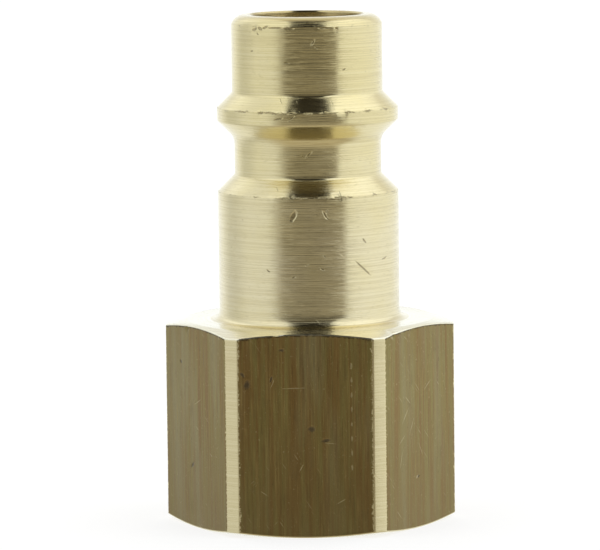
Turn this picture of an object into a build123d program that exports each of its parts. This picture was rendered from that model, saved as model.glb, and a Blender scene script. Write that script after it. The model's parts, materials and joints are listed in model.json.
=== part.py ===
"""Self-sealing plug half of a quick disconnect coupler, 7.4 mm flow size, with a G 1/4 female port.

A one-piece body, turned from 17 mm hexagonal brass bar, carries the plug-in profile at the top and the
threaded port at the bottom. A spring-loaded poppet inside it closes the tip until a coupler pushes it down.

Frame: millimetres, +Z along the axis towards the tip, origin at the centre of the port's end face, with
two flats of the hexagon square to Y. The plug stands on the port end, with the valve closed.
"""

from build123d import *

import os
from math import radians, sqrt, tan

# Plug-in profile. Heights along it are measured down from the tip's end face.
OVERALL_LENGTH = 33.5
TIP_D = 9.95
NOSE_HEIGHT = 0.6  # rounded rim of the tip
NOSE_WIDTH = 0.875
COLLAR_D = 11.95
COLLAR_BELOW_TIP = 6.1  # upper edge of the collar's land
COLLAR_LAND = 0.85
NECK_D = 9.7
NECK_BELOW_TIP = 10.5  # end of the neck, where the shoulder starts
GUIDE_D = 11.95  # the plain length below the shoulder, which the coupler's mouth guides
FLANK_FILLET = 0.25  # at the foot of the upper flank and of the shoulder
NECK_FILLET = 1.0  # between the collar's lower flank and the neck
EDGE_BREAK = 0.08  # on turned edges

# Hexagon
ACROSS_FLATS = 17.0
CORNER_RISE = 1.05  # how far the turned-down corners stand out past the flats
HEX_HEIGHT = 13.4
HEX_CHAMFER = 16.0  # degrees from the end faces
TOP_CHAMFER_INSET = 0.3  # the top chamfer starts this far inside the flats
HEX_FILLET = 0.6  # where the plain length meets the hexagon

# Port thread, G 1/4: 19 threads per inch with 55 degree flanks
THREAD_MAJOR_D = 13.157
THREAD_MINOR_D = 11.445
THREAD_PITCH = 25.4 / 19
THREAD_ROOT_FLAT = 0.214
THREAD_FLANK = 27.5
THREAD_LENGTH = 8.5
RELIEF_WIDTH = 1.3  # groove that the thread runs out into
RELIEF_BREAK = 0.17  # radial, past the thread's major diameter
MOUTH_BREAK = 0.22
PORT_DEPTH = 11.4  # to the floor of the tapping hole
CUTTER_INSET = 0.15  # the thread cutter's outline starts this far inside the minor diameter
BAR_ALLOWANCE = 4.0  # extra bar below the end face while the thread is cut

# Bores behind the tip
TIP_BORE_D = 7.4
TIP_BORE_DEPTH = 2.5
TIP_BORE_EDGE = 0.1
SEAT_HOLE_D = 5.6
SEAT_LAND = 0.4
CHAMBER_D = 8.0
GUIDE_SEAT_Z = 17.4  # shoulder that the valve guide rests against
GUIDE_SEAT_WIDTH = 0.8

# Retaining ring, in a groove under the valve guide
GROOVE_DEPTH = 0.4
RING_THICKNESS = 1.0
RING_WIDTH = 0.95
RING_THIN_WIDTH = 0.6  # beside the lugs
RING_GAP = 64.0  # degrees between the lugs' centres
LUG_D = 1.9
LUG_HOLE_D = 0.9

# Valve guide
GUIDE_THICKNESS = 1.2
GUIDE_RIM = 0.85
GUIDE_WEBS = 3
GUIDE_WEB = 1.5
HUB_FLANGE = 0.3
HUB_RISE = 0.9
HUB_DROP = 0.6

# Poppet and its O-ring
VALVE_TRAVEL = 3.2
SEAL_SECTION = 1.0
SEAL_INSET = 0.1  # the O-ring's centre line runs this far inside the seat hole
FACE_BELOW_LEDGE = 0.05
CENTRE_MARK_D = 1.2
SKIRT_HEIGHT = 1.0
SKIRT_LIP = 0.1  # past the O-ring's outside
SPIGOT_HEIGHT = 1.0
SHANK_D = 3.6
STEM_D = 2.4
STEM_BELOW_GUIDE = 1.1
STEM_CHAMFER = 0.3

# Spring, between the guide's webs and the poppet's skirt
SPRING_WIRE = 0.6
SPRING_MEAN_D = 5.6
SPRING_PITCH = 1.38

# Clearances, all radial except the axial ones
STEM_CLEARANCE = 0.05
BORE_CLEARANCE = 0.04  # valve guide and retaining ring in the body
FACE_CLEARANCE = 0.3  # poppet face in the seat hole
SPIGOT_CLEARANCE = 0.15
HUB_CLEARANCE = 0.3
SEAL_GAP = 0.02  # between O-ring and seat, measured square to the seat
STOP_GAP = 0.02  # axial, left at the end of the poppet's travel
GROOVE_PLAY = 0.1  # axial, under the retaining ring

# Radii and heights worked out from the sizes above
tip_r = TIP_D / 2
collar_r = COLLAR_D / 2
neck_r = NECK_D / 2
guide_r = GUIDE_D / 2
flat_r = ACROSS_FLATS / 2
corner_r = flat_r + CORNER_RISE
core_r = THREAD_MINOR_D / 2
root_r = THREAD_MAJOR_D / 2
chamber_r = CHAMBER_D / 2
guide_bore_r = chamber_r + GUIDE_SEAT_WIDTH
groove_r = guide_bore_r + GROOVE_DEPTH
seat_r = SEAT_HOLE_D / 2

tip_z = OVERALL_LENGTH
collar_top_z = tip_z - COLLAR_BELOW_TIP
collar_base_z = collar_top_z - COLLAR_LAND
neck_end_z = tip_z - NECK_BELOW_TIP
ledge_z = tip_z - TIP_BORE_DEPTH
seat_z = ledge_z - SEAT_LAND
guide_base_z = GUIDE_SEAT_Z - GUIDE_THICKNESS
hub_top_z = GUIDE_SEAT_Z + HUB_RISE
ring_base_z = guide_base_z - RING_THICKNESS

# The O-ring touches the 45 degree seat, less the gap, and the poppet is built around it
seal_r = seat_r - SEAL_INSET
seal_outer_r = seal_r + SEAL_SECTION / 2
seal_z = seat_z + SEAL_INSET - (SEAL_SECTION / 2 + SEAL_GAP) * sqrt(2)
skirt_top_z = seal_z - SEAL_SECTION / 2
skirt_base_z = skirt_top_z - SKIRT_HEIGHT
spring_length = skirt_base_z - GUIDE_SEAT_Z
spring_inner_r = (SPRING_MEAN_D - SPRING_WIRE) / 2


def rings(part, *places):
    """The part's circular edges at the given (radius, height) places."""
    circles = part.edges().filter_by(GeomType.CIRCLE)
    return [
        edge
        for edge in circles
        if any(abs(edge.radius - r) < 1e-3 and abs(edge.arc_center.Z - z) < 1e-3 for r, z in places)
    ]


with BuildPart() as thread_groove:
    # Cutter for the port's thread: its section swept along the helix, from below the mouth into the relief
    cutter_r = core_r - CUTTER_INSET
    cutter_base_z = -THREAD_PITCH
    cutter_height = THREAD_LENGTH + RELIEF_WIDTH / 2 - cutter_base_z
    half_root = THREAD_ROOT_FLAT / 2
    half_mouth = half_root + (root_r - cutter_r) * tan(radians(THREAD_FLANK))
    with BuildLine() as thread_path:
        Helix(THREAD_PITCH, cutter_height, cutter_r, center=(0, 0, cutter_base_z))
    with BuildSketch(Plane.XZ):
        with BuildLine():
            Polyline(
                (cutter_r, cutter_base_z - half_mouth),
                (root_r, cutter_base_z - half_root),
                (root_r, cutter_base_z + half_root),
                (cutter_r, cutter_base_z + half_mouth),
                close=True,
            )
        make_face()
    sweep(path=thread_path.wires()[0], is_frenet=True)

with BuildPart() as plug_body:
    # Over-long hexagonal bar, drilled and threaded before its end is faced off
    with BuildSketch(Plane.XY.offset(-BAR_ALLOWANCE)):
        RegularPolygon(flat_r, 6, major_radius=False)
        Circle(core_r, mode=Mode.SUBTRACT)
    extrude(amount=BAR_ALLOWANCE + HEX_HEIGHT)
    add(thread_groove.part, mode=Mode.SUBTRACT)

    # Corners turned down, and both ends faced and chamfered
    hex_slope = tan(radians(HEX_CHAMFER))
    top_r = flat_r - TOP_CHAMFER_INSET
    with BuildSketch(Plane.XZ):
        with BuildLine():
            Polyline(
                (0, 0),
                (flat_r, 0),
                (corner_r, (corner_r - flat_r) * hex_slope),
                (corner_r, HEX_HEIGHT - (corner_r - top_r) * hex_slope),
                (top_r, HEX_HEIGHT),
                (0, HEX_HEIGHT),
                close=True,
            )
        make_face()
    revolve(axis=Axis.Z, mode=Mode.INTERSECT)

    # Plug-in profile, from the port's floor up, with 45 degree flanks and a rounded rim
    flank_top_z = collar_top_z + collar_r - tip_r
    flank_base_z = collar_base_z - (collar_r - neck_r)
    shoulder_z = neck_end_z - (guide_r - neck_r)
    nose_z = tip_z - NOSE_HEIGHT
    nose_r = tip_r - NOSE_WIDTH
    with BuildSketch(Plane.XZ):
        with BuildLine():
            Polyline(
                (nose_r, tip_z),
                (0, tip_z),
                (0, PORT_DEPTH),
                (guide_r, PORT_DEPTH),
                (guide_r, shoulder_z),
                (neck_r, neck_end_z),
                (neck_r, flank_base_z),
                (collar_r, collar_base_z),
                (collar_r, collar_top_z),
                (tip_r, flank_top_z),
                (tip_r, nose_z),
            )
            TangentArc((nose_r, tip_z), (tip_r, nose_z), tangent=(1, 0))
        make_face()
    revolve(axis=Axis.Z)
    fillet(rings(plug_body.part, (neck_r, flank_base_z)), NECK_FILLET)
    fillet(rings(plug_body.part, (neck_r, neck_end_z), (tip_r, flank_top_z)), FLANK_FILLET)
    fillet(rings(plug_body.part, (guide_r, HEX_HEIGHT)), HEX_FILLET)
    turned_edges = rings(
        plug_body.part,
        (guide_r, shoulder_z),
        (collar_r, collar_base_z),
        (collar_r, collar_top_z),
        (tip_r, nose_z),
    )
    fillet(turned_edges, EDGE_BREAK)

    # Bores, from the port's mouth up to the tip
    mouth_r = root_r + MOUTH_BREAK
    relief_r = root_r + RELIEF_BREAK
    relief_end_z = THREAD_LENGTH + RELIEF_WIDTH
    groove_base_z = ring_base_z - GROOVE_PLAY
    tip_bore_r = TIP_BORE_D / 2
    with BuildSketch(Plane.XZ):
        with BuildLine():
            Polyline(
                (0, 0),
                (mouth_r, 0),
                (core_r, mouth_r - core_r),
                (core_r, THREAD_LENGTH),
                (relief_r, THREAD_LENGTH),
                (relief_r, relief_end_z),
                (core_r, relief_end_z),
                (core_r, PORT_DEPTH),
                (guide_bore_r, PORT_DEPTH),
                (guide_bore_r, groove_base_z),
                (groove_r, groove_base_z),
                (groove_r, guide_base_z),
                (guide_bore_r, guide_base_z),
                (guide_bore_r, GUIDE_SEAT_Z),
                (chamber_r, GUIDE_SEAT_Z),
                (chamber_r, seat_z - (chamber_r - seat_r)),
                (seat_r, seat_z),
                (seat_r, ledge_z),
                (tip_bore_r, ledge_z),
                (tip_bore_r, tip_z - TIP_BORE_EDGE),
                (tip_bore_r + TIP_BORE_EDGE, tip_z),
                (0, tip_z),
                close=True,
            )
        make_face()
    revolve(axis=Axis.Z, mode=Mode.SUBTRACT)

with BuildPart() as valve_poppet:
    # Face disc, O-ring groove, skirt, spring spigot, shank and guided stem, turned in one piece
    face_r = seat_r - FACE_CLEARANCE
    face_z = ledge_z - FACE_BELOW_LEDGE
    mark_r = CENTRE_MARK_D / 2
    seal_top_z = seal_z + SEAL_SECTION / 2
    seal_inner_r = seal_r - SEAL_SECTION / 2
    skirt_r = seal_outer_r + SKIRT_LIP
    spigot_r = spring_inner_r - SPIGOT_CLEARANCE
    spigot_base_z = skirt_base_z - SPIGOT_HEIGHT
    shank_r = SHANK_D / 2
    shank_base_z = hub_top_z + VALVE_TRAVEL + STOP_GAP
    stem_r = STEM_D / 2
    stem_base_z = guide_base_z - STEM_BELOW_GUIDE
    with BuildSketch(Plane.XZ):
        with BuildLine():
            Polyline(
                (0, stem_base_z),
                (stem_r - STEM_CHAMFER, stem_base_z),
                (stem_r, stem_base_z + STEM_CHAMFER),
                (stem_r, shank_base_z),
                (shank_r, shank_base_z),
                (shank_r, spigot_base_z),
                (spigot_r, spigot_base_z),
                (spigot_r, skirt_base_z),
                (skirt_r, skirt_base_z),
                (skirt_r, skirt_top_z),
                (seal_inner_r, skirt_top_z),
                (seal_inner_r, seal_top_z),
                (face_r, seal_top_z),
                (face_r, face_z),
                (mark_r, face_z),
                (0, face_z - mark_r),
                close=True,
            )
        make_face()
    revolve(axis=Axis.Z)
    broken_edges = ((skirt_r, skirt_base_z), (spigot_r, spigot_base_z), (face_r, face_z))
    chamfer(rings(valve_poppet.part, *broken_edges), EDGE_BREAK)

with BuildPart() as poppet_seal:
    # O-ring in the poppet's groove
    with BuildSketch(Plane.XZ):
        with Locations((seal_r, seal_z)):
            Circle(SEAL_SECTION / 2)
    revolve(axis=Axis.Z)

with BuildPart() as valve_spring:
    # Compression spring, with both ends ground flat
    with BuildLine() as spring_path:
        Helix(SPRING_PITCH, spring_length, SPRING_MEAN_D / 2, center=(0, 0, GUIDE_SEAT_Z))
    spring_wire = spring_path.wires()[0]
    with BuildSketch(Plane(origin=spring_wire @ 0, z_dir=spring_wire % 0)):
        Circle(SPRING_WIRE / 2)
    sweep(path=spring_wire, is_frenet=True)
    with BuildSketch(Plane.XY.offset(GUIDE_SEAT_Z)):
        Circle(SPRING_MEAN_D)
    extrude(amount=spring_length, mode=Mode.INTERSECT)

with BuildPart() as valve_guide:
    # Rim and bored hub joined by webs, with the flow passing between them
    rim_r = guide_bore_r - BORE_CLEARANCE
    hub_r = spring_inner_r - HUB_CLEARANCE
    with BuildSketch(Plane.XY.offset(guide_base_z)):
        Circle(rim_r)
    extrude(amount=GUIDE_THICKNESS)
    with BuildSketch(Plane.XY.offset(guide_base_z - HUB_DROP)):
        Circle(hub_r)
    extrude(amount=HUB_DROP + GUIDE_THICKNESS + HUB_RISE)
    with BuildSketch(Plane.XY.offset(guide_base_z)):
        Circle(rim_r - GUIDE_RIM)
        Circle(hub_r + HUB_FLANGE, mode=Mode.SUBTRACT)
        with PolarLocations(0, GUIDE_WEBS, start_angle=90):
            Rectangle(rim_r, GUIDE_WEB, align=(Align.MIN, Align.CENTER), mode=Mode.SUBTRACT)
    extrude(amount=GUIDE_THICKNESS, mode=Mode.SUBTRACT)
    chamfer(rings(valve_guide.part, (hub_r, hub_top_z), (rim_r, GUIDE_SEAT_Z)), EDGE_BREAK)
    with Locations((0, 0, hub_top_z)):
        Hole(STEM_D / 2 + STEM_CLEARANCE)

with BuildPart() as retaining_ring:
    # Open ring, widest at its back, with a holed lug at each end for pliers
    ring_outer_r = groove_r - BORE_CLEARANCE
    ring_inner_r = ring_outer_r - (RING_WIDTH + RING_THIN_WIDTH) / 2
    lug_centre_r = ring_outer_r - LUG_D / 2
    lug_angles = (90 - RING_GAP / 2, 90 + RING_GAP / 2)
    with BuildSketch(Plane.XY.offset(ring_base_z)):
        Circle(ring_outer_r)
        with Locations((0, (RING_WIDTH - RING_THIN_WIDTH) / 2)):
            Circle(ring_inner_r, mode=Mode.SUBTRACT)
        with BuildLine():
            gap_sides = [PolarLine((0, 0), 2 * ring_outer_r, angle) for angle in lug_angles]
            Line(gap_sides[0] @ 1, gap_sides[1] @ 1)
        make_face(mode=Mode.SUBTRACT)
        for angle in lug_angles:
            with PolarLocations(lug_centre_r, 1, start_angle=angle):
                Circle(LUG_D / 2)
                Circle(LUG_HOLE_D / 2, mode=Mode.SUBTRACT)
    extrude(amount=RING_THICKNESS)

plug_body.part.label = "plug_body"
valve_poppet.part.label = "valve_poppet"
poppet_seal.part.label = "poppet_seal"
valve_spring.part.label = "valve_spring"
valve_guide.part.label = "valve_guide"
retaining_ring.part.label = "retaining_ring"

os.makedirs("parts", exist_ok=True)
for piece in (plug_body, valve_poppet, poppet_seal, valve_spring, valve_guide, retaining_ring):
    export_step(piece.part, f"parts/{piece.part.label}.step")
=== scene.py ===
"""Looks of the self-sealing plug half of a quick disconnect coupler.

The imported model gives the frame. Lengths here are in millimetres and become metres as each mesh is made.
"""

import json
from math import acos, atan2, cos, floor, hypot, pi, radians, sin, tan

import bmesh
import bpy
from mathutils import Euler, Matrix, Vector, noise


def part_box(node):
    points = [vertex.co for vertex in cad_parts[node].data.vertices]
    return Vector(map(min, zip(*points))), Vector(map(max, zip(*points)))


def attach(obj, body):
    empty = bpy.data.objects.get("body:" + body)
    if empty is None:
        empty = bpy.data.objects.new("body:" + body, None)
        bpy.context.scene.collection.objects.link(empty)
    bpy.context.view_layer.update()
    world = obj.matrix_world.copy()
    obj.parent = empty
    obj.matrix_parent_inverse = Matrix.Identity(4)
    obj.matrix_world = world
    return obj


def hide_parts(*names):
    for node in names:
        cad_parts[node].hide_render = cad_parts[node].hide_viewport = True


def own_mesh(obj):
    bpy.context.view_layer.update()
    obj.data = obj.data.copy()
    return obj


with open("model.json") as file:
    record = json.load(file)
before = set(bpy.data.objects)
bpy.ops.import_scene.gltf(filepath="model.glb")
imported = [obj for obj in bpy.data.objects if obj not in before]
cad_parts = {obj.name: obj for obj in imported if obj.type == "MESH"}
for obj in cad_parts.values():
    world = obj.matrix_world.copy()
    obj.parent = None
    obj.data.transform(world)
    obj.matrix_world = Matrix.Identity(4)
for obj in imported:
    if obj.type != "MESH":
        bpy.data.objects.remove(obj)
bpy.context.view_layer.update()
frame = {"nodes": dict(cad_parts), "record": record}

MM = 0.001

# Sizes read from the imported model
mounts = {m["name"]: m for m in frame["record"]["mounts"]}
body_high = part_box("plug_body")[1] / MM
guide_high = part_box("valve_guide")[1] / MM
poppet_low, poppet_high = (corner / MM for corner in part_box("valve_poppet"))
seal_low, seal_high = (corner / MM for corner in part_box("poppet_seal"))
ring_low, ring_high = (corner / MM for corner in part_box("retaining_ring"))
spring_low, spring_high = (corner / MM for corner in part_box("valve_spring"))

TIP_Z = body_high.z
CORNER_R = body_high.x
FLAT_R = body_high.y
TIP_R = mounts["plug_tip"]["dims"]["r_mm"]
COLLAR_R = mounts["guide_land"]["dims"]["r_mm"]
TIP_BORE_R = mounts["tip_bore"]["dims"]["r_mm"]
CORE_R = mounts["port_thread"]["dims"]["r_mm"]

# Outside of the body that no mount or box states
NECK_R = 4.85
NOSE_HEIGHT = 0.6
NOSE_WIDTH = 0.875
COLLAR_TOP_Z = TIP_Z - 6.1
COLLAR_BASE_Z = COLLAR_TOP_Z - 0.85
NECK_END_Z = TIP_Z - 10.5
LAND_TOP_Z = NECK_END_Z - (COLLAR_R - NECK_R)
FLANK_FILLET = 0.25
FLANK_EDGE = 0.12
NECK_FILLET = 1.0
EDGE_BREAK = 0.08
ROLLED_EDGE = 0.22
HEX_HEIGHT = 13.4
HEX_FILLET = 0.6
CHAMFER_SLOPE = tan(radians(16))
TOP_R = FLAT_R - 0.3
HEX_EDGE = 0.07

# Inside of the body
THREAD_MAJOR_R = 6.5785
THREAD_PITCH = 25.4 / 19
THREAD_ROOT_FLAT = 0.214
THREAD_FLANK = tan(radians(27.5))
THREAD_LENGTH = 8.5
RELIEF_R = THREAD_MAJOR_R + 0.17
RELIEF_END_Z = THREAD_LENGTH + 1.3
MOUTH_R = THREAD_MAJOR_R + 0.22
PORT_DEPTH = 11.4
GUIDE_BORE_R = guide_high.x + 0.04
GROOVE_R = ring_high.x + 0.04
GROOVE_BASE_Z = ring_low.z - 0.1
GROOVE_TOP_Z = ring_high.z
GUIDE_SEAT_Z = spring_low.z
CHAMBER_R = 4.0
SEAT_R = 2.8
LEDGE_Z = TIP_Z - 2.5
SEAT_Z = LEDGE_Z - 0.4
TIP_BORE_EDGE = 0.1
BORE_FILLET = 0.1
CHAMBER_EDGE = 0.08
SEAT_EDGE = 0.06
FINE_EDGE = 0.04

# Mesh density
FLAT_COLUMNS = 50
STRIP_COLUMNS = 6
THREAD_ROWS = 10  # to a pitch
OUTSIDE_STEP = 0.25
INSIDE_STEP = 1.0
CHAMFER_ROWS = 4
BASE_ROWS = 3
PORT_FACE_ROWS = 4
EDGE_STEPS = 3

# Heights of a flat's rows, as shares of its height: close together at its two ends, and even between
MIDDLE_ROWS = 17
EDGE_ROWS = [0.008, 0.017, 0.028, 0.042]
FLAT_ROWS = EDGE_ROWS + [0.06 + 0.88 * k / MIDDLE_ROWS for k in range(MIDDLE_ROWS + 1)]
FLAT_ROWS += [1 - share for share in reversed(EDGE_ROWS)]

# How many of the turned outline's last rows are on the hexagon's faced top, and the hexagon's rows
# from which its flats start and by which they have ended
FACED_ROWS = round((TOP_R - COLLAR_R - HEX_FILLET) / OUTSIDE_STEP) + 1
FLAT_START = CHAMFER_ROWS - 1 + EDGE_STEPS
FLAT_END = FLAT_START + len(FLAT_ROWS) + 1

# The body's finishes, in the order that its faces count them
TURNED, DRAWN, INSIDE, FACED = range(4)


# ---------------------------------------------------------------- outlines

def rounded(corners, steps=5):
    """Points along an outline of (radius, height, fillet) corners, with each fillet as an arc."""
    points = []
    for i, (r, z, fillet) in enumerate(corners):
        corner = Vector((r, z))
        if not fillet:
            points.append(corner)
            continue
        back = (Vector(corners[i - 1][:2]) - corner).normalized()
        ahead = (Vector(corners[i + 1][:2]) - corner).normalized()
        half = back.angle(ahead) / 2
        centre = corner + (back + ahead).normalized() * fillet / sin(half)
        start = corner + back * fillet / tan(half) - centre
        end = corner + ahead * fillet / tan(half) - centre
        sweep = start.angle(end)
        for k in range(steps + 1):
            share = k / steps
            arm = start * sin((1 - share) * sweep) + end * sin(share * sweep)
            points.append(centre + arm / sin(sweep))
    return points


def filled(points, step):
    """The same outline, with points added wherever two are more than a step apart."""
    made = [points[0]]
    for a, b in zip(points, points[1:]):
        parts = max(1, round((b - a).length / step))
        made += [a.lerp(b, k / parts) for k in range(1, parts + 1)]
    return made


def turned_outside():
    """From the rim of the tip's bore down to the start of the hexagon's top chamfer."""
    nose_r = TIP_R - NOSE_WIDTH
    nose_arc_r = (NOSE_WIDTH**2 + NOSE_HEIGHT**2) / (2 * NOSE_HEIGHT)
    nose_sweep = acos(1 - NOSE_HEIGHT / nose_arc_r)
    nose_steps = 9
    nose = []
    for k in range(nose_steps):
        angle = nose_sweep * k / nose_steps
        nose.append((nose_r + nose_arc_r * sin(angle), TIP_Z - nose_arc_r * (1 - cos(angle)), 0))
    corners = [
        (TIP_BORE_R + TIP_BORE_EDGE, TIP_Z, 0),
        *nose,
        (TIP_R, TIP_Z - NOSE_HEIGHT, EDGE_BREAK),
        (TIP_R, COLLAR_TOP_Z + COLLAR_R - TIP_R, FLANK_FILLET),
        (COLLAR_R, COLLAR_TOP_Z, FLANK_EDGE),
        (COLLAR_R, COLLAR_BASE_Z, ROLLED_EDGE),
        (NECK_R, COLLAR_BASE_Z - (COLLAR_R - NECK_R), NECK_FILLET),
        (NECK_R, NECK_END_Z, FLANK_FILLET),
        (COLLAR_R, LAND_TOP_Z, FLANK_EDGE),
        (COLLAR_R, HEX_HEIGHT, HEX_FILLET),
        (TOP_R, HEX_HEIGHT, 0),
    ]
    return filled(rounded(corners), OUTSIDE_STEP)


def inside_past_thread():
    """From the thread's end up through the port, the guide's bore and the chamber to the tip's rim."""
    corners = [
        (RELIEF_R, THREAD_LENGTH, 0),
        (RELIEF_R, RELIEF_END_Z, BORE_FILLET),
        (CORE_R, RELIEF_END_Z, 0),
        (CORE_R, PORT_DEPTH, BORE_FILLET),
        (GUIDE_BORE_R, PORT_DEPTH, BORE_FILLET),
        (GUIDE_BORE_R, GROOVE_BASE_Z, 0),
        (GROOVE_R, GROOVE_BASE_Z, 0),
        (GROOVE_R, GROOVE_TOP_Z, 0),
        (GUIDE_BORE_R, GROOVE_TOP_Z, 0),
        (GUIDE_BORE_R, GUIDE_SEAT_Z, 0),
        (CHAMBER_R, GUIDE_SEAT_Z, CHAMBER_EDGE),
        (CHAMBER_R, SEAT_Z - (CHAMBER_R - SEAT_R), 0),
        (SEAT_R, SEAT_Z, SEAT_EDGE),
        (SEAT_R, LEDGE_Z, SEAT_EDGE),
        (TIP_BORE_R, LEDGE_Z, SEAT_EDGE),
        (TIP_BORE_R, TIP_Z - TIP_BORE_EDGE, FINE_EDGE),
        (TIP_BORE_R + TIP_BORE_EDGE, TIP_Z, 0),
    ]
    return filled(rounded(corners, 3), INSIDE_STEP)[:-1]


# ---------------------------------------------------------------- body mesh

def hexagon_columns():
    """(angle, radius of the hexagon there) all round, dense enough for the flats and the turned corners."""
    half_flat = (CORNER_R**2 - FLAT_R**2) ** 0.5
    half_angle = atan2(half_flat, FLAT_R)
    strip = radians(60) - 2 * half_angle
    columns = []
    for side in range(6):
        middle = radians(60 * side - 90)
        for k in range(FLAT_COLUMNS):
            across = half_flat * (2 * k / FLAT_COLUMNS - 1)
            columns.append((middle + atan2(across, FLAT_R), hypot(across, FLAT_R)))
        for k in range(STRIP_COLUMNS):
            columns.append((middle + half_angle + strip * k / STRIP_COLUMNS, CORNER_R))
    return columns


def edge_curve(before, corner, after):
    """A short curve from one point to another that rounds the corner between them."""
    shares = [k / EDGE_STEPS for k in range(EDGE_STEPS + 1)]
    return [before * (1 - s) ** 2 + corner * 2 * s * (1 - s) + after * s**2 for s in shares]


def hexagon_side(hex_r):
    """One column of the hexagon as (radius, height) points, from its top chamfer to the port's mouth."""
    top_start = Vector((TOP_R, HEX_HEIGHT))
    top_z = HEX_HEIGHT - (hex_r - TOP_R) * CHAMFER_SLOPE
    base_r = FLAT_R - HEX_EDGE
    base_z = (hex_r - base_r) * CHAMFER_SLOPE
    top_edge = edge_curve(
        Vector((hex_r - HEX_EDGE, top_z + HEX_EDGE * CHAMFER_SLOPE)),
        Vector((hex_r, top_z)),
        Vector((hex_r, top_z - HEX_EDGE)),
    )
    base_edge = edge_curve(
        Vector((hex_r, base_z + HEX_EDGE)),
        Vector((hex_r, base_z)),
        Vector((hex_r - HEX_EDGE, base_z - HEX_EDGE * CHAMFER_SLOPE)),
    )
    base_end = Vector((base_r, 0))
    chamfer = [top_start.lerp(top_edge[0], k / CHAMFER_ROWS) for k in range(1, CHAMFER_ROWS)]
    flat = [top_edge[-1].lerp(base_edge[0], share) for share in FLAT_ROWS]
    base = [base_edge[-1].lerp(base_end, (k + 1) / BASE_ROWS) for k in range(BASE_ROWS)]
    mouth = Vector((MOUTH_R, 0))
    port_face = [base_end.lerp(mouth, (k + 1) / PORT_FACE_ROWS) for k in range(PORT_FACE_ROWS)]
    return chamfer + top_edge + flat + base_edge + base + port_face


def thread_radius(z, angle):
    """Radius of the threaded port at a height and angle: its mouth's cone or its thread, the wider one."""
    turn = z / THREAD_PITCH - angle / (2 * pi)
    from_groove = abs(turn - floor(turn) - 0.5) * THREAD_PITCH
    groove_r = THREAD_MAJOR_R - max(0, from_groove - THREAD_ROOT_FLAT / 2) / THREAD_FLANK
    return max(CORE_R, groove_r, MOUTH_R - z)


def thread_rows(columns):
    """Rows that climb with the helix, each cut off at the thread's two ends."""
    start_z = MOUTH_R - THREAD_MAJOR_R
    length = THREAD_LENGTH - start_z
    count = int(THREAD_ROWS * (1 + length / THREAD_PITCH)) + 2
    first_angle = columns[0][0]
    rows = []
    for k in range(count):
        row = []
        for angle, _ in columns:
            climb = (k / THREAD_ROWS + (angle - first_angle) / (2 * pi) - 1) * THREAD_PITCH
            z = start_z + min(max(climb, 0), length)
            row.append(Vector((thread_radius(z, angle), z)))
        rows.append(row)
    return rows


def quads(rows, columns, shift):
    """Faces between rows, closed both ways. At the seam, shift gives the row that a row's end meets."""
    faces = []
    for i in range(rows):
        for j in range(columns):
            corners = []
            for row, column in ((i, j), (i, j + 1), (i + 1, j + 1), (i + 1, j)):
                row %= rows
                if column == columns:
                    row, column = shift(row), 0
                corners.append(row * columns + column)
            faces.append(corners)
    return faces


# Nicks in the body's edges: degrees round from the front, height, half width, half height and depth
EDGE_NICKS = [
    (24.5, 27.40, 0.40, 0.08, 0.06),
    (-29.0, 27.38, 0.16, 0.08, 0.06),
    (-41.0, 32.86, 0.20, 0.09, 0.09),
    (-34.0, 32.80, 0.16, 0.08, 0.08),
    (25.0, 32.84, 0.14, 0.06, 0.035),
    (20.5, 21.88, 0.28, 0.07, 0.045),
    (-8.0, 21.88, 0.12, 0.06, 0.02),
    (140.0, 27.38, 0.34, 0.12, 0.11),
    (-112.0, 21.88, 0.28, 0.10, 0.09),
    (195.0, 32.84, 0.22, 0.09, 0.08),
    (39.0, 13.12, 0.22, 0.16, 0.14),
    (-68.0, 13.10, 0.18, 0.16, 0.10),
    (-13.0, 13.30, 0.55, 0.10, 0.10),
    (103.0, 13.12, 0.26, 0.22, 0.12),
    (168.0, 13.20, 0.20, 0.20, 0.09),
    (-151.0, 0.20, 0.30, 0.22, 0.12),
    (52.0, 0.16, 0.24, 0.20, 0.09),
]

# Heights of the turned outside's sharp edges, and how uneven each is from the tool and from handling
WORN_EDGES = [(TIP_Z - NOSE_HEIGHT, 0.5), (COLLAR_TOP_Z, 1.0), (LAND_TOP_Z, 0.8)]
WEAR_REACH = 0.18
WEAR_DEPTH = 0.036

# How far the outside lies inside its nominal size, and the waves in it: how fine, and how high
SKIN = 0.008
WAVES = [(0.9, 0.006), (3.1, 0.002)]


def nicked(point):
    """How far a point of the outside is pushed in where a nick is."""
    radius = hypot(point.x, point.y)
    angle = atan2(point.x, -point.y)
    push = 0
    for degrees_round, z, half_width, half_height, depth in EDGE_NICKS:
        around = (angle - radians(degrees_round) + pi) % (2 * pi) - pi
        ragged = 1 + 0.5 * noise.noise(point * 7)
        reach = (around * radius / half_width) ** 2 + ((point.z - z) / half_height) ** 2
        if reach < ragged:
            push = max(push, depth * (1 - reach / ragged) ** 0.6)
    return push


def worn(point):
    """How far a point beside a sharp edge is worn back, unevenly."""
    nearness = max(amount * (1 - abs(point.z - edge) / WEAR_REACH) for edge, amount in WORN_EDGES)
    unevenness = noise.noise(point * 2.3) + 0.5 * noise.noise(point * 7.1) - 0.1
    return max(0, nearness) * max(0, unevenness) * WEAR_DEPTH


def hand_finished(point):
    """A point of the outside with the small unevenness that turning and handling leave."""
    wave = sum(noise.noise(point * fineness) * height for fineness, height in WAVES)
    inward = SKIN - wave + nicked(point) + worn(point)
    return point - Vector((point.x, point.y, 0)).normalized() * inward


def in_metres(r, z, angle):
    """The point at a radius, height and angle, in metres."""
    return Vector((r * cos(angle), r * sin(angle), z)) * MM


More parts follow.
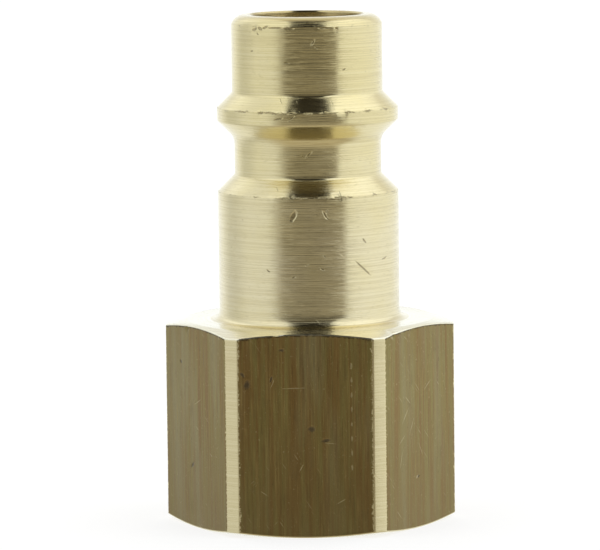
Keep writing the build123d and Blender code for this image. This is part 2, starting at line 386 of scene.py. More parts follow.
def mesh_object(name, points, faces, sharp_degrees=32, finishes=None):
    """A cleaned mesh with smooth faces and sharp edges, added to the scene, with a finish for each face."""
    mesh = bpy.data.meshes.new(name)
    mesh.from_pydata(points, [], faces)
    if finishes:
        mesh.polygons.foreach_set("material_index", finishes)
    work = bmesh.new()
    work.from_mesh(mesh)
    bmesh.ops.remove_doubles(work, verts=work.verts, dist=2e-7)
    bmesh.ops.dissolve_degenerate(work, edges=work.edges, dist=1e-7)
    bmesh.ops.recalc_face_normals(work, faces=work.faces)
    work.to_mesh(mesh)
    work.free()
    mesh.shade_smooth()
    mesh.set_sharp_from_angle(angle=radians(sharp_degrees))
    made = bpy.data.objects.new(name, mesh)
    bpy.context.scene.collection.objects.link(made)
    made.modifiers.new("even_shading", "WEIGHTED_NORMAL").keep_sharp = True
    return made


def plug_body():
    """The whole body as one closed sheet of rows: down the outside, across the port face, up the inside."""
    columns = hexagon_columns()
    turned = [[point] * len(columns) for point in turned_outside()]
    sides = [hexagon_side(hex_r) for _, hex_r in columns]
    hexagon = [[side[k] for side in sides] for k in range(len(sides[0]))]
    threads = thread_rows(columns)
    inside = [[point] * len(columns) for point in inside_past_thread()]
    rows = turned + hexagon + threads + inside
    first_hexagon = len(turned)
    flat_start, flat_end = first_hexagon + FLAT_START, first_hexagon + FLAT_END
    first_thread = len(turned) + len(hexagon)
    last_thread = first_thread + len(threads) - 1

    def shift(row):
        return min(row + THREAD_ROWS, last_thread) if first_thread <= row <= last_thread else row

    def finish_of(row, column):
        on_flat = column % (FLAT_COLUMNS + STRIP_COLUMNS) < FLAT_COLUMNS
        if row >= first_thread - 1:
            return INSIDE
        if on_flat and flat_start <= row < flat_end:
            return DRAWN
        if first_hexagon - FACED_ROWS <= row < flat_start:
            return FACED
        return TURNED

    points = []
    for i, row in enumerate(rows):
        for (angle, _), (r, z) in zip(columns, row):
            point = in_metres(r, z, angle)
            points.append(hand_finished(point / MM) * MM if i < flat_end else point)
    faces = quads(len(rows), len(columns), shift)
    finishes = [finish_of(i, j) for i in range(len(rows)) for j in range(len(columns))]
    return mesh_object("plug_body_brass", points, faces, finishes=finishes)


# ---------------------------------------------------------------- small pieces

def lathe(name, outline, columns=120):
    """A solid of revolution from an outline of (radius, height) points."""
    angles = [2 * pi * j / columns for j in range(columns)]
    points = [in_metres(r, z, angle) for r, z in outline for angle in angles]
    faces = []
    for i in range(len(outline) - 1):
        near, far = i * columns, (i + 1) * columns
        for j in range(columns):
            ahead = (j + 1) % columns
            faces.append([near + j, near + ahead, far + ahead, far + j])
    return mesh_object(name, points, faces)


def poppet():
    """Face disc, seal groove, skirt, spring spigot, shank and guided stem, with broken edges."""
    top_z, stem_end_z = poppet_high.z, poppet_low.z
    centre_mark_r, centre_mark_depth = 0.6, 0.3
    face_r = SEAT_R - 0.3
    groove_r = seal_high.x - (seal_high.z - seal_low.z)
    skirt_r = poppet_high.x
    spigot_r, spigot_end_z = 2.35, spring_high.z - 1.0
    shank_r, shank_end_z = 1.8, 21.52
    stem_r, stem_chamfer = 1.2, 0.3
    corners = [
        (0, top_z - centre_mark_depth, 0),
        (centre_mark_r, top_z, 0.05),
        (face_r, top_z, EDGE_BREAK),
        (face_r, seal_high.z, FINE_EDGE),
        (groove_r, seal_high.z, FINE_EDGE),
        (groove_r, seal_low.z, FINE_EDGE),
        (skirt_r, seal_low.z, EDGE_BREAK),
        (skirt_r, spring_high.z, EDGE_BREAK),
        (spigot_r, spring_high.z, FINE_EDGE),
        (spigot_r, spigot_end_z, 0.25),
        (shank_r, spigot_end_z, 0),
        (shank_r, shank_end_z, 0.15),
        (stem_r, shank_end_z, 0.05),
        (stem_r, stem_end_z + stem_chamfer, 0.05),
        (stem_r - stem_chamfer, stem_end_z, 0.05),
        (0, stem_end_z, 0),
    ]
    return lathe("valve_poppet_brass", filled(rounded(corners), 0.4))


def spring():
    """The spring's wire, with closed end turns ground flat."""
    wire_r = 0.3
    mean_r = spring_high.x - wire_r
    turns = 8
    turn_steps = 56
    wire_steps = 14
    end_rise = 0.15  # of the wire's middle at each ground end, less than its radius
    turn_gap = 0.02
    low, high = spring_low.z, spring_high.z
    closed = end_rise + 2 * wire_r + turn_gap
    climb = (high - low - 2 * closed) / (turns - 2)
    points = []
    for k in range(turns * turn_steps + 1):
        turn = k / turn_steps
        if turn < 1:
            z = low + end_rise + (closed - end_rise) * turn
        elif turn > turns - 1:
            z = high - end_rise - (closed - end_rise) * (turns - turn)
        else:
            z = low + closed + climb * (turn - 1)
        for m in range(wire_steps):
            around = 2 * pi * m / wire_steps
            r = mean_r + wire_r * cos(around)
            ground_z = min(max(z + wire_r * sin(around), low), high)
            points.append(in_metres(r, ground_z, 2 * pi * turn))
    rings = turns * turn_steps
    faces = []
    for k in range(rings):
        for m in range(wire_steps):
            ahead = (m + 1) % wire_steps
            near, far = k * wire_steps, (k + 1) * wire_steps
            faces.append([near + m, near + ahead, far + ahead, far + m])
    faces.append(list(range(wire_steps)))
    faces.append([rings * wire_steps + m for m in range(wire_steps)])
    return mesh_object("valve_spring_steel", points, faces, 50)


# ---------------------------------------------------------------- materials

class Nodes:
    """Adds nodes to one tree. An input is a plain value or the output that feeds it."""

    def __init__(self, tree):
        self.tree = tree
        tree.nodes.clear()

    def add(self, kind, inputs=None, **settings):
        """A new node, with its inputs by name or number and its settings."""
        node = self.tree.nodes.new("ShaderNode" + kind)
        for name, value in settings.items():
            setattr(node, name, value)
        for socket, value in (inputs or {}).items():
            if isinstance(value, bpy.types.NodeSocket):
                self.tree.links.new(value, node.inputs[socket])
            else:
                node.inputs[socket].default_value = value
        return node

    def math(self, operation, a, b=0.0, clamp=False):
        return self.add("Math", {0: a, 1: b}, operation=operation, use_clamp=clamp).outputs[0]

    def plus(self, a, b, factor):
        """One value and so many times another."""
        return self.math("ADD", a, self.math("MULTIPLY", b, factor))

    def stretched(self, place, factors):
        """A place with its X, Y and Z multiplied."""
        return self.add("VectorMath", {0: place, 1: factors}, operation="MULTIPLY").outputs["Vector"]

    def scaled(self, vector, scale):
        return self.add("VectorMath", {0: vector, "Scale": scale}, operation="SCALE").outputs["Vector"]

    def noise(self, place, scale, detail=2.0, roughness=0.5):
        inputs = {"Vector": place, "Scale": scale, "Detail": detail, "Roughness": roughness}
        return self.add("TexNoise", inputs).outputs["Fac"]

    def span(self, value, low, high, to_low=0.0, to_high=1.0, smooth=False):
        """A value carried from one range to another, and held inside the second."""
        inputs = {"Value": value, "From Min": low, "From Max": high, "To Min": to_low, "To Max": to_high}
        kind = "SMOOTHSTEP" if smooth else "LINEAR"
        return self.add("MapRange", inputs, interpolation_type=kind).outputs["Result"]

    def mix(self, share, a, b):
        return self.add("Mix", {0: share, 6: a, 7: b}, data_type="RGBA").outputs[2]

    def layered(self, tone, layers):
        """A tone under layers of (value, its two ends, the layer's share at the second, colour)."""
        for value, start, end, share, colour in layers:
            tone = self.mix(self.span(value, start, end, 0.0, share), tone, colour)
        return tone

    def ramp(self, value, stops):
        """The colour at a value, from stops of (value, colour)."""
        node = self.add("ValToRGB", {"Fac": value})
        ramp = node.color_ramp
        while len(ramp.elements) < len(stops):
            ramp.elements.new(0.5)
        for element, (place, colour) in zip(ramp.elements, stops):
            element.position = place
            element.color = colour
        return node.outputs["Color"]

    def place(self):
        """The point's place on the part, in millimetres."""
        return self.scaled(self.add("TexCoord").outputs["Object"], 1 / MM)

    def radius(self, place):
        """Distance from the part's axis."""
        level = self.stretched(place, (1, 1, 0))
        return self.add("VectorMath", {0: level}, operation="LENGTH").outputs["Value"]

    def z(self, place):
        return self.add("SeparateXYZ", {0: place}).outputs["Z"]

    def bump(self, height, millimetres):
        return self.add("Bump", {"Height": height, "Distance": millimetres * MM}).outputs[0]

    def round_axis(self):
        """The direction round the part's axis, which is the way the tool marks run."""
        return self.add("Tangent", direction_type="RADIAL", axis="Z").outputs[0]

    def finish(self, inputs):
        """The tree's only shader, with these inputs, and its output."""
        self.finish_with(self.add("BsdfPrincipled", inputs))

    def finish_with(self, surface):
        """The tree's output, fed by a shader."""
        self.add("OutputMaterial", {"Surface": surface.outputs[0]})


def grey(value):
    return (value, value, value, 1)


def material(name):
    """A new material, and its empty tree of nodes."""
    made = bpy.data.materials.new(name)
    made.use_nodes = True
    return made, Nodes(made.node_tree)


def lathe_lines(nodes, place, per_mm, drift):
    """Fine rings about Z, from 0 to 1, on cylinders, cones and faces. Drift breaks them up on their way."""
    along = nodes.stretched(place, (drift, drift, per_mm))
    outward = nodes.add("CombineXYZ", {"X": nodes.math("MULTIPLY", nodes.radius(place), per_mm)})
    rings = nodes.add("VectorMath", {0: along, 1: outward.outputs[0]}, operation="ADD")
    return nodes.noise(rings.outputs["Vector"], 1.0, 3.0, 0.6)


# Marks in the turned outside: degrees round from the front, height, length, width and degrees of tilt
SCRATCHES = [
    (-7.2, 20.70, 1.10, 0.55, 62),
    (12.8, 20.75, 0.95, 0.26, -60),
    (14.0, 21.00, 0.40, 0.14, 70),
    (39.5, 18.95, 0.60, 0.16, -50),
    (38.5, 17.15, 2.3, 0.16, -40),
    (58.0, 17.65, 0.80, 0.12, 12),
    (12.2, 18.05, 0.35, 0.14, -40),
    (10.8, 17.20, 0.40, 0.14, -20),
    (-7.4, 16.70, 0.45, 0.14, 25),
    (1.0, 17.50, 0.35, 0.12, 40),
    (-24.0, 17.10, 0.40, 0.12, -30),
    (-16.0, 27.02, 0.95, 0.16, 14),
    (-8.0, 27.05, 0.90, 0.16, 35),
    (-1.5, 24.50, 0.50, 0.10, -35),
    (3.0, 24.62, 0.80, 0.18, 42),
    (-41.0, 32.72, 0.62, 0.28, 25),
    (-35.0, 32.78, 0.55, 0.30, -35),
    (-30.5, 32.88, 0.70, 0.22, 30),
    (-37.5, 32.45, 0.30, 0.12, -50),
    (25.5, 32.80, 0.28, 0.18, 0),
    (-22.0, 32.86, 1.7, 0.14, 2),
    (-11.0, 32.83, 1.0, 0.12, -3),
    (16.0, 32.85, 1.3, 0.12, 2),
    (-44.0, 31.30, 0.35, 0.14, 10),
    (-13.0, 30.60, 0.50, 0.12, -8),
    (31.0, 30.10, 0.45, 0.12, 20),
    (7.0, 31.90, 0.75, 0.20, 60),
    (9.5, 31.55, 0.35, 0.10, -40),
    (150.0, 18.2, 1.6, 0.12, 40),
    (-140.0, 19.6, 0.80, 0.16, -35),
    (-95.0, 24.2, 0.60, 0.10, 15),
    (100.0, 30.4, 0.70, 0.12, -50),
    (-170.0, 16.4, 1.1, 0.10, 20),
]

# Dark pits in the hexagon's flats, in the same order
FLAT_PITS = [
    (-23.9, 10.05, 0.95, 0.62, 60),
    (-25.5, 10.70, 0.60, 0.30, -50),
    (2.7, 7.15, 0.62, 0.52, 0),
    (8.8, 6.40, 0.85, 0.34, 10),
    (-14.5, 10.4, 0.60, 0.26, 70),
    (-10.0, 12.3, 0.50, 0.30, 0),
    (58.0, 3.40, 0.40, 0.22, 20),
    (176.0, 7.30, 0.8, 0.42, 15),
    (-64.0, 4.10, 0.7, 0.34, 40),
    (-74.0, 10.80, 0.5, 0.30, -20),
    (-85.0, 12.98, 0.7, 0.36, 0),
    (-8.0, 13.32, 1.6, 0.30, 0),
]

# Bright scratches in the hexagon's flats, in the same order
FLAT_SCRATCHES = [
    (-4.9, 9.80, 3.0, 0.11, 2),
    (-14.0, 10.1, 1.2, 0.09, 68),
    (10.5, 6.20, 1.5, 0.09, -4),
    (-17.5, 2.90, 1.1, 0.09, -35),
    (15.0, 2.40, 1.4, 0.09, 30),
    (-2.0, 4.60, 1.0, 0.09, 62),
    (47.5, 7.60, 2.6, 0.13, 50),
    (49.5, 8.60, 2.0, 0.11, -40),
    (52.5, 6.80, 1.9, 0.11, 62),
    (45.0, 6.10, 2.3, 0.11, 38),
    (66.0, 9.30, 2.0, 0.10, 35),
    (44.0, 4.80, 2.0, 0.10, 75),
    (60.0, 5.20, 1.5, 0.09, -60),
    (57.0, 3.40, 0.5, 0.30, 20),
    (-58.0, 8.40, 1.6, 0.09, 25),
    (37.6, 12.95, 0.55, 0.40, -55),
    (45.5, 13.14, 1.0, 0.22, 8),
    (52.0, 13.22, 1.2, 0.18, 3),
    (48.0, 12.70, 0.9, 0.10, -35),
    (-38.0, 12.93, 0.5, 0.20, -30),
    (123.0, 8.10, 2.2, 0.12, 35),
    (-131.0, 6.00, 1.8, 0.11, -50),
]

# A row of eight dots up the front flat
FLAT_SCRATCHES += [(19.4, 4.6 + 0.95 * k, 0.62, 0.18, 90) for k in range(8)]

MARK_DEPTH = 0.4  # how far a mark reaches through the surface, so that it is met wherever the surface is


def marks(nodes, place, listed, radius_at):
    """One mask for a list of marks, each a short oval spot on the surface that radius_at gives."""
    found = 0.0
    for degrees_round, z, length, width, tilt in listed:
        angle = radians(degrees_round)
        radius = radius_at(z, degrees_round)
        inputs = {
            "Vector": place,
            "Location": (radius * sin(angle), -radius * cos(angle), z),
            "Rotation": Euler((0, -radians(tilt), angle)),
            "Scale": (length / 2, MARK_DEPTH / 2, width / 2),
        }
        local = nodes.add("Mapping", inputs, vector_type="TEXTURE").outputs[0]
        spot = nodes.add("TexGradient", {0: local}, gradient_type="SPHERICAL").outputs["Fac"]
        found = nodes.math("MAXIMUM", spot, found)
    return found


def outside_radius(z, _):
    """Radius of the turned outside at a height, near enough to place a mark."""
    if z > COLLAR_TOP_Z:
        return TIP_R
    if NECK_END_Z < z < COLLAR_BASE_Z:
        return NECK_R
    return COLLAR_R


def flat_radius(_, degrees_round):
    """Distance from the axis to the hexagon's flat at an angle."""
    return FLAT_R / cos(radians((degrees_round + 30) % 60 - 30))


def fine_scratches(nodes, place, turn, size, thickness, patches, threshold):
    """Straight scratches that lie one way, in patches. A higher threshold gives fewer and smaller patches."""
    inputs = {"Vector": place, "Rotation": Euler(turn), "Scale": (size, size, thickness)}
    turned = nodes.add("Mapping", inputs, vector_type="TEXTURE").outputs[0]
    spots = nodes.add("TexVoronoi", {"Vector": turned, "Scale": 1.0}, feature="F1").outputs["Distance"]
    patch = nodes.span(nodes.noise(place, patches, 2.0), threshold, threshold + 0.08)
    return nodes.math("MULTIPLY", nodes.span(spots, 0.20, 0.08), patch)


def near_edges(nodes, z):
    """How worn the turned outside is at each height: most at the edges."""
    found = 0.0
    for height, amount in WORN_EDGES:
        apart = nodes.math("ABSOLUTE", nodes.math("SUBTRACT", z, height))
        found = nodes.math("MAXIMUM", nodes.span(apart, WEAR_REACH, 0.0, 0.0, amount), found)
    return found


def on_cylinders(nodes, place):
    """How deep the lathe lines are: full on the cylinders, shallow on flanks, fillets and the hexagon."""
    radius = nodes.radius(place)
    past_small = nodes.span(radius, TIP_R + 0.04, TIP_R + 0.16)
    from_large = nodes.math("ABSOLUTE", nodes.math("SUBTRACT", radius, COLLAR_R))
    off_large = nodes.span(from_large, 0.04, 0.14)
    return nodes.span(nodes.math("MULTIPLY", past_small, off_large), 0.0, 1.0, 1.0, 0.3)


# The clean metal is yellowest from the first height up and palest from the second down. The hexagon's
# corners and base, which lie below the third, are duller
YELLOW_Z = 28.0
PALE_Z = 18.0
DULL_Z = 12.95


def bare_brass(nodes, place, shade, faced):
    """Colour of the clean metal, duller on the hexagon's corners and base. A shade below 1 makes a darker,
    browner copy as painted shade.
    """
    cloud = nodes.noise(place, 0.35, 3.0)
    yellow = (0.78 * shade, 0.68 * shade**1.2, 0.37 * shade**1.6, 1)
    pale = (0.80 * shade, 0.715 * shade**1.2, 0.468 * shade**1.6, 1)
    uneven = nodes.span(cloud, 0.35, 0.65, -0.2, 0.2)
    paleness = nodes.math("ADD", nodes.span(nodes.z(place), YELLOW_Z, PALE_Z, 0.0, 0.8), uneven)
    tone = nodes.mix(nodes.math("ADD", paleness, 0.0, clamp=True), yellow, pale)
    if faced:
        tone = nodes.mix(nodes.span(cloud, 0.35, 0.65), (0.93, 0.89, 0.71, 1), (0.96, 0.93, 0.77, 1))
    dull = nodes.span(nodes.z(place), DULL_Z, DULL_Z - 0.1, 0.0, 0.75)
    return nodes.mix(dull, tone, (0.66 * shade, 0.57 * shade, 0.33 * shade, 1))


def handling_marks(nodes, place, speck):
    """Two masks of the turned outside: dents and chewed edges, and fine light scratches."""
    dents = marks(nodes, place, SCRATCHES, outside_radius)
    ragged = nodes.span(nodes.plus(dents, speck, 0.5), 0.46, 0.80)
    blotch = nodes.noise(nodes.stretched(place, (1, 1, 3)), 1.5, 5.0, 0.75)
    chewed = nodes.span(nodes.plus(blotch, near_edges(nodes, nodes.z(place)), 0.24), 0.72, 0.84)
    light = fine_scratches(nodes, place, (0.5, 0.7, 0.2), 2.2, 0.12, 0.8, 0.58)
    return nodes.math("MAXIMUM", ragged, chewed), light


def turned_brass(name, shade=1.0, outside=False, faced=False):
    """Bright turned brass with lathe lines and faint stains, and on the body's outside handling marks."""
    made, nodes = material(name)
    place = nodes.place()
    fine = lathe_lines(nodes, place, 15.0, 0.12)
    coarse = lathe_lines(nodes, place, 6.0, 0.06)
    grain = lathe_lines(nodes, place, 11.0, 2.6)
    groove = nodes.span(fine, 0.50, 0.58)
    speck = nodes.noise(place, 5.0, 3.0, 0.7)

    tone = bare_brass(nodes, place, shade, faced)
    tone = nodes.mix(nodes.math("MULTIPLY", groove, 0.15), tone, (0.40, 0.31, 0.14, 1))
    tone = nodes.layered(
        tone,
        [
            (fine, 0.44, 0.36, 0.12, (0.95, 0.90, 0.68, 1)),
            (coarse, 0.5, 0.75, 0.16, (0.52, 0.42, 0.21, 1)),
            (grain, 0.60, 0.74, 0.30, (0.42, 0.33, 0.15, 1)),
            (speck, 0.68, 0.75, 0.55, (0.27, 0.20, 0.09, 1)),
        ],
    )
    height = nodes.plus(nodes.math("MULTIPLY", coarse, 0.30), groove, -0.8)
    height = nodes.plus(height, grain, 0.30)
    height = nodes.math("MULTIPLY", height, 0.35 if faced else on_cylinders(nodes, place))
    if outside:
        damage, light = handling_marks(nodes, place, speck)
        tone = nodes.mix(nodes.math("MULTIPLY", damage, 0.55), tone, (0.24, 0.18, 0.08, 1))
        height = nodes.plus(height, damage, -9.0)
        height = nodes.plus(height, light, -2.0)
    nodes.finish(
        {
            "Base Color": tone,
            "Metallic": 1.0,
            "Roughness": nodes.span(grain, 0.3, 0.7, 0.12, 0.21),
            "Anisotropic": 0.6,
            "Anisotropic Rotation": 0.25,
            "Tangent": nodes.round_axis(),
            "Normal": nodes.bump(height, 0.0042),
            "Coat Weight": 0.25,
            "Coat Roughness": 0.2,
        }
    )
    return made


def tarnish(nodes, place, streak, fine, speck):
    """Colour of the bar's skin: olive and brown streaks along it, mottled, with specks and dust, and painted
    shade that darkens it towards the base.
    """
    broad = nodes.noise(nodes.stretched(place, (1, 1, 0.12)), 0.55, 3.0)
    dust = nodes.noise(nodes.stretched(place, (1, 1, 0.55)), 8.0, 3.0, 0.7)
    mottle = nodes.noise(nodes.stretched(place, (1, 1, 0.35)), 1.6, 4.0, 0.65)
    olive = (0.29, 0.235, 0.080, 1)
    brown = (0.265, 0.168, 0.055, 1)
    return nodes.layered(
        nodes.mix(nodes.span(streak, 0.42, 0.58), olive, brown),
        [
            (broad, 0.48, 0.66, 0.6, (0.33, 0.285, 0.150, 1)),
            (mottle, 0.55, 0.75, 0.45, (0.20, 0.145, 0.06, 1)),
            (fine, 0.55, 0.75, 0.5, (0.48, 0.355, 0.13, 1)),
            (fine, 0.42, 0.28, 0.45, (0.14, 0.09, 0.035, 1)),
            (speck, 0.69, 0.76, 0.7, (0.10, 0.065, 0.03, 1)),
            (speck, 0.34, 0.30, 0.55, (0.62, 0.52, 0.28, 1)),
            (dust, 0.64, 0.70, 0.45, (0.60, 0.50, 0.27, 1)),
            (dust, 0.36, 0.30, 0.55, (0.11, 0.075, 0.035, 1)),
            # painted shade near the floor: the skin is made darker towards the base
            (nodes.z(place), 9.0, 0.0, 0.45, (0.21, 0.155, 0.06, 1)),
        ],
    )


def cut_borders(nodes, place, tone):
    """The flats' borders, where corners and chamfers were cut: rubbed bright, and dark under the top edge."""
    radius = nodes.radius(place)
    ragged = nodes.noise(place, 5.0, 5.0, 0.78)
    to_strip = nodes.plus(radius, ragged, 0.42)
    chamfer_z = nodes.plus(HEX_HEIGHT + TOP_R * CHAMFER_SLOPE, radius, -CHAMFER_SLOPE)
    under_edge = nodes.plus(nodes.math("SUBTRACT", chamfer_z, nodes.z(place)), ragged, 0.7)
    return nodes.layered(
        tone,
        [
            (to_strip, CORNER_R + 0.19, CORNER_R + 0.205, 1.0, (0.74, 0.65, 0.37, 1)),
            (under_edge, 0.50, 0.44, 0.85, (0.05, 0.035, 0.015, 1)),
        ],
    )


def drawn_brass():
    """The bar's drawn, tarnished skin on the hexagon's flats, pitted, scratched and cut at its borders."""
    made, nodes = material("drawn_brass")
    place = nodes.place()
    along_bar = nodes.stretched(place, (1, 1, 0.03))
    streak = nodes.noise(along_bar, 2.4, 5.0, 0.72)
    fine = nodes.noise(along_bar, 11.0, 3.0, 0.6)
    speck = nodes.noise(place, 4.5, 4.0, 0.7)

    pitted = nodes.plus(marks(nodes, place, FLAT_PITS, flat_radius), speck, 0.8)
    pitted = nodes.span(pitted, 0.52, 1.05)
    scraped = nodes.plus(marks(nodes, place, FLAT_SCRATCHES, flat_radius), speck, 1.2)
    scraped = nodes.span(scraped, 0.90, 1.25)
    one_way = fine_scratches(nodes, place, (0.2, 1.0, 0.4), 3.0, 0.12, 0.7, 0.55)
    other_way = fine_scratches(nodes, place, (-0.7, -0.3, 1.1), 2.2, 0.12, 1.3, 0.62)
    scratched = nodes.math("MAXIMUM", nodes.math("MAXIMUM", one_way, other_way), scraped)

    tone = tarnish(nodes, place, streak, fine, speck)
    tone = nodes.mix(nodes.math("MULTIPLY", scratched, 0.42), tone, (0.66, 0.57, 0.34, 1))
    tone = nodes.mix(nodes.math("MULTIPLY", pitted, 0.75), tone, (0.10, 0.080, 0.05, 1))
    tone = cut_borders(nodes, place, tone)

    height = nodes.plus(nodes.math("MULTIPLY", streak, 0.8), fine, 0.8)
    pits = nodes.plus(nodes.span(speck, 0.66, 0.76), pitted, 3.0)
    height = nodes.math("SUBTRACT", height, nodes.plus(pits, scratched, 0.8))
    nodes.finish(
        {
            "Base Color": tone,
            "Metallic": 0.8,
            "Roughness": nodes.span(fine, 0.3, 0.7, 0.32, 0.5),
            "Anisotropic": 0.4,
            "Tangent": nodes.round_axis(),
            "Normal": nodes.bump(height, 0.011),
        }
    )
    return made


def spring_steel(name, bright):
    """Drawn or stamped spring steel, with a thin uneven oil film."""
    made, nodes = material(name)
    place = nodes.place()
    film = nodes.noise(place, 1.8, 4.0, 0.6)
    grain = nodes.noise(place, 14.0, 3.0, 0.6)
    oiled = (bright * 0.8, bright * 0.72, bright * 0.62, 1)
    tone = nodes.mix(nodes.span(film, 0.35, 0.65), grey(bright), oiled)
    tone = nodes.mix(nodes.span(grain, 0.6, 0.75, 0.0, 0.5), tone, grey(bright * 0.45))
    nodes.finish(
        {
            "Base Color": tone,
            "Metallic": 1.0,
            "Roughness": nodes.span(grain, 0.3, 0.7, 0.22, 0.4),
            "Normal": nodes.bump(grain, 0.004),
        }
    )
    return made


def seal_rubber():
    """Black nitrile rubber with a moulded skin and a trace of grease."""
    made, nodes = material("seal_rubber")
    place = nodes.place()
    skin = nodes.noise(place, 9.0, 4.0, 0.65)
    grease = nodes.noise(place, 1.2, 2.0)
    nodes.finish(
        {
            "Base Color": nodes.mix(
                nodes.span(skin, 0.35, 0.65), (0.018, 0.018, 0.019, 1), (0.035, 0.034, 0.032, 1)
            ),
            "Roughness": nodes.span(grease, 0.35, 0.65, 0.3, 0.6),
            "Normal": nodes.bump(skin, 0.006),
        }
    )
    return made


def paint(piece, *materials):
    """Gives a piece its materials, in the order that its faces count them. Faces past the last get the last."""
    finishes = [min(face.material_index, len(materials) - 1) for face in piece.data.polygons]
    piece.data.materials.clear()
    for finish in materials:
        piece.data.materials.append(finish)
    piece.data.polygons.foreach_set("material_index", finishes)


# ---------------------------------------------------------------- studio

def add_floor():
    """A pale floor, clear from below. The tent's own lower half lights the part's underside."""
    made, nodes = material("pale_floor")
    place = nodes.place()
    tone = nodes.mix(nodes.noise(place, 0.02, 2.0), grey(0.30), grey(0.34))
    inputs = {"Base Color": tone, "Roughness": 0.9, "Emission Color": grey(1.0), "Emission Strength": 0.78}
    pale = nodes.add("BsdfPrincipled", inputs)
    clear = nodes.add("BsdfTransparent")
    below = nodes.add("NewGeometry").outputs["Backfacing"]
    nodes.finish_with(nodes.add("MixShader", {0: below, 1: pale.outputs[0], 2: clear.outputs[0]}))
    half, z = 1.5, -0.01 * MM
    corners = [(-half, -half, z), (half, -half, z), (half, half, z), (-half, half, z)]
    mesh = bpy.data.meshes.new("floor")
    mesh.from_pydata(corners, [], [[0, 1, 2, 3]])
    ground = bpy.data.objects.new("floor", mesh)
    bpy.context.scene.collection.objects.link(ground)
    ground.data.materials.append(made)
    ground.visible_glossy = False
    ground.visible_diffuse = False
    ground.visible_shadow = False


# Brightness of the tent's cloth round the horizon, from the back (0) by the left (0.25), the front (0.5)
# and the right (0.75) to the back again
CLOTH = [
    (0.0, 1.22),
    (0.11, 1.10),
    (0.17, 0.78),
    (0.21, 0.80),
    (0.27, 0.95),
    (0.38, 0.93),
    (0.60, 1.02),
    (0.75, 1.12),
    (0.88, 1.12),
    (1.0, 1.22),
]

# Brightness of the room in the opening, from straight down (0) by the front (0.25) to the roof (0.5) and
# over towards the back, where the cloth takes over
ROOM = [
    (0.0, 0.50),
    (0.14, 0.60),
    (0.20, 0.43),
    (0.233, 0.35),
    (0.241, 0.09),
    (0.262, 0.09),
    (0.285, 0.20),
    (0.305, 0.18),
    (0.33, 0.04),
    (0.50, 0.02),
    (0.58, 0.70),
]
CLOTH_BEHIND_ROOF = (0.72, 1.1)


def cloth_white(level):
    return (level * 0.90, level * 0.925, level * 0.935, 1)


def room_dark(level):
    return (level, level * 0.92, level * 0.75, 1)


def tent_walls(nodes, x, y, z):
    """The tent's cloth, a little dimmer below the horizon and brighter above it."""
    azimuth = nodes.math("ARCTAN2", x, nodes.math("MULTIPLY", y, -1.0))
    cloth = nodes.ramp(nodes.span(azimuth, -pi, pi), [(place, cloth_white(level)) for place, level in CLOTH])
    below = nodes.span(z, -0.6, 0.0, 0.95, 1.0, smooth=True)
    above = nodes.span(z, 0.2, 0.8, 1.0, 1.26, smooth=True)
    return nodes.scaled(cloth, nodes.math("MULTIPLY", below, above))


def opening(nodes, x, y, z):
    """How open the tent is: 1 in the opening and the roof's slot, 0 on the cloth.

    The two edges are given by the X of a direction. They are far apart and soft at the horizon, and
    closer and crisper towards the roof. Low down at the back there is cloth.
    """
    up = nodes.math("MAXIMUM", z, 0.0)
    left_edge = nodes.plus(-0.62, up, 0.395)
    right_edge = nodes.plus(0.77, up, -0.50)
    left_softness = nodes.plus(0.17, up, -0.13)
    right_softness = nodes.plus(0.07, up, -0.025)
    from_left = nodes.math("DIVIDE", nodes.math("SUBTRACT", x, left_edge), left_softness)
    from_right = nodes.math("DIVIDE", nodes.math("SUBTRACT", right_edge, x), right_softness)
    between = nodes.math(
        "MULTIPLY",
        nodes.span(from_left, -1.0, 1.0, smooth=True),
        nodes.span(from_right, -1.0, 1.0, smooth=True),
    )
    behind = nodes.math("MULTIPLY", nodes.span(y, 0.0, 0.4), nodes.span(z, 0.30, 0.08))
    return nodes.math("MULTIPLY", between, nodes.math("SUBTRACT", 1.0, behind))


def dim_room(nodes, y, z):
    """What shows in the opening."""
    turn = nodes.math("ARCTAN2", z, nodes.math("MULTIPLY", y, -1.0))
    stops = [(place, room_dark(level)) for place, level in ROOM]
    place, level = CLOTH_BEHIND_ROOF
    return nodes.ramp(nodes.span(turn, -pi / 2, 3 * pi / 2), stops + [(place, cloth_white(level))])


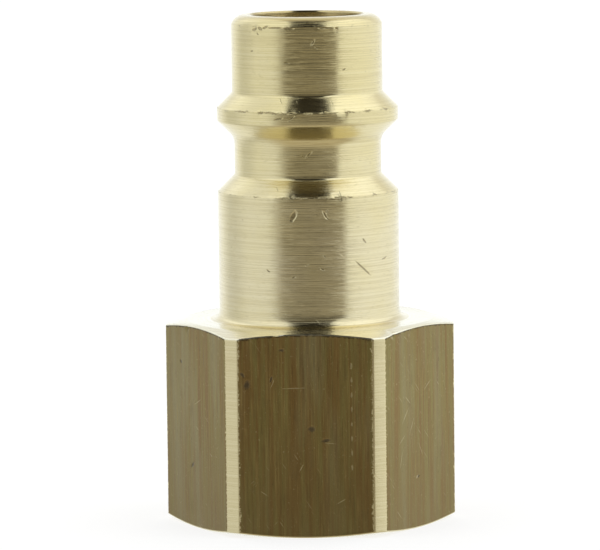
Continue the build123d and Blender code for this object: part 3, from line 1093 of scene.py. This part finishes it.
def add_light():
    """A white light tent, open towards -Y onto a dim room, with a slot in its roof.

    The camera sees plain white in place of the tent.
    """
    world = bpy.data.worlds.new("light_tent")
    bpy.context.scene.world = world
    world.use_nodes = True
    nodes = Nodes(world.node_tree)
    x, y, z = nodes.add("SeparateXYZ", {0: nodes.add("TexCoord").outputs["Generated"]}).outputs
    light = nodes.mix(opening(nodes, x, y, z), tent_walls(nodes, x, y, z), dim_room(nodes, y, z))
    seen = nodes.add("LightPath").outputs["Is Camera Ray"]
    back = nodes.add("Background", {"Color": nodes.mix(seen, light, grey(1.0)), "Strength": 1.0})
    nodes.add("OutputWorld", {"Surface": back.outputs[0]})


def add_camera():
    """A long lens, a little right of the part's front and a little above it."""
    azimuth = radians(2.306)
    distance = 308.7
    height = 51.5
    aim = Vector((-0.61, 0, 16.2))
    roll = radians(0.64)
    data = bpy.data.cameras.new("camera")
    data.sensor_width = 36
    data.lens = 281.6
    data.clip_start = 0.01
    place = Vector((sin(azimuth) * distance, -cos(azimuth) * distance, height))
    turn = (aim - place).to_track_quat("-Z", "Y").to_matrix() @ Matrix.Rotation(-roll, 3, "Z")
    camera = bpy.data.objects.new("camera", data)
    camera.matrix_world = Matrix.Translation(place * MM) @ turn.to_4x4()
    bpy.context.scene.collection.objects.link(camera)
    bpy.context.scene.camera = camera


# ---------------------------------------------------------------- the part

add_camera()
add_light()
add_floor()
bpy.context.scene.view_settings.view_transform = "Standard"

body = plug_body()
paint(
    body,
    turned_brass("turned_brass", outside=True),
    drawn_brass(),
    # painted shade inside the bore: a darker copy of the turned brass
    turned_brass("bored_brass", shade=0.72),
    turned_brass("faced_brass", faced=True),
)
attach(body, "plug")
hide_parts("plug_body")

valve = poppet()
paint(valve, turned_brass("valve_brass"))
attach(valve, "valve")
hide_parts("valve_poppet")

coil = spring()
paint(coil, spring_steel("spring_steel", 0.6))
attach(coil, "plug")
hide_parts("valve_spring")
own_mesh(coil)

nodes_shown = frame["nodes"]
paint(nodes_shown["valve_guide"], turned_brass("guide_brass"))
paint(nodes_shown["retaining_ring"], spring_steel("ring_steel", 0.34))
paint(nodes_shown["poppet_seal"], seal_rubber())
